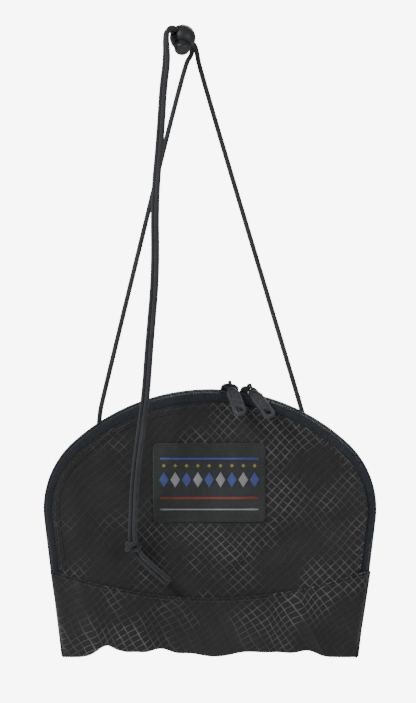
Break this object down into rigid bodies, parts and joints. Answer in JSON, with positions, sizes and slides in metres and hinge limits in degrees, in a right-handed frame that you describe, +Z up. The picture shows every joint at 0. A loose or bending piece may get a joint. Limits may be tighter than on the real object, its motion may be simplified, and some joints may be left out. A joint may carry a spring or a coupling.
{
  "type": "neck pouch wallet",
  "caption": "Flat dome-topped fabric neck pouch with an arched zip with sliders and pulls, a woven front label, and an adjustable neck cord through a spring-loaded cord lock.",
  "frame": {"origin": "top of the neck loop, the point just under the cord lock where the hanging pouch is held", "axes": "+X to the right seen from the front, +Y towards the back (the front faces -Y), +Z up"},
  "size_m": [0.1772, 0.0339, 0.3357],
  "materials": {
    "ripstop": "thin woven ripstop, matt, with a fine diamond grid",
    "zip_tape": "woven zip tape with a water-repellent sheen",
    "binding": "grosgrain binding tape",
    "coil": "nylon coil",
    "tack": "close bar tack of polyester thread",
    "thread": "polyester sewing thread",
    "label": "damask woven label",
    "metal": "dark gunmetal finish on zinc",
    "lock_plastic": "moulded nylon, satin",
    "spring_steel": "bright spring wire",
    "cord": "round braided polyester cord",
    "anchor": "folded webbing tab"
  },
  "bodies": {
    "pouch": {"back_panel": "ripstop", "band_topstitching": "thread", "cord_anchor_left": "anchor", "cord_anchor_right": "anchor", "cord_end_knot": "cord", "front_panel": "ripstop", "label_stitching": "thread", "lock_ball": "lock_plastic", "lock_spring": "spring_steel", "lower_front_panel": "ripstop", "neck_cord_left": "cord", "neck_cord_right": "cord", "seam_binding": "binding", "woven_label": "label", "zip_topstitching": "thread", "zipper_coil_back": "coil", "zipper_coil_front": "coil", "zipper_end_tack_left": "tack", "zipper_end_tack_right": "tack", "zipper_tape_back": "zip_tape", "zipper_tape_front": "zip_tape"},
    "left_slider": {"left_slider": "metal"},
    "left_pull": {"left_pull": "metal"},
    "right_slider": {"right_slider": "metal"},
    "right_pull": {"right_pull": "metal"},
    "lock_plunger": {"lock_plunger": "lock_plastic"}
  },
  "joints": [
    {"name": "left_slider_travel", "type": "hinge", "parent": "pouch", "child": "left_slider", "pos_m": [0.0106, 0, -0.2835], "axis": [0, 1, 0], "range_deg": [-45.5, 0]},
    {"name": "right_slider_travel", "type": "hinge", "parent": "pouch", "child": "right_slider", "pos_m": [0.0106, 0, -0.2835], "axis": [0, 1, 0], "range_deg": [0, 29]},
    {"name": "left_pull_swing", "type": "hinge", "parent": "left_slider", "child": "left_pull", "pos_m": [0.02122, -0.00115, -0.17326], "axis": [-0.9954, 0, 0.0958], "range_deg": [0, 230]},
    {"name": "right_pull_swing", "type": "hinge", "parent": "right_slider", "child": "right_pull", "pos_m": [0.03173, -0.00115, -0.17479], "axis": [-0.9816, 0, 0.1908], "range_deg": [0, 230]},
    {"name": "lock_plunger_press", "type": "slide", "parent": "pouch", "child": "lock_plunger", "axis": [0.0401, 0.6428, 0.765], "range_m": [0, 0.002], "stiffness_N_per_m": 800, "springref_m": -0.0015, "deforming": ["lock_spring"]}
  ]
}
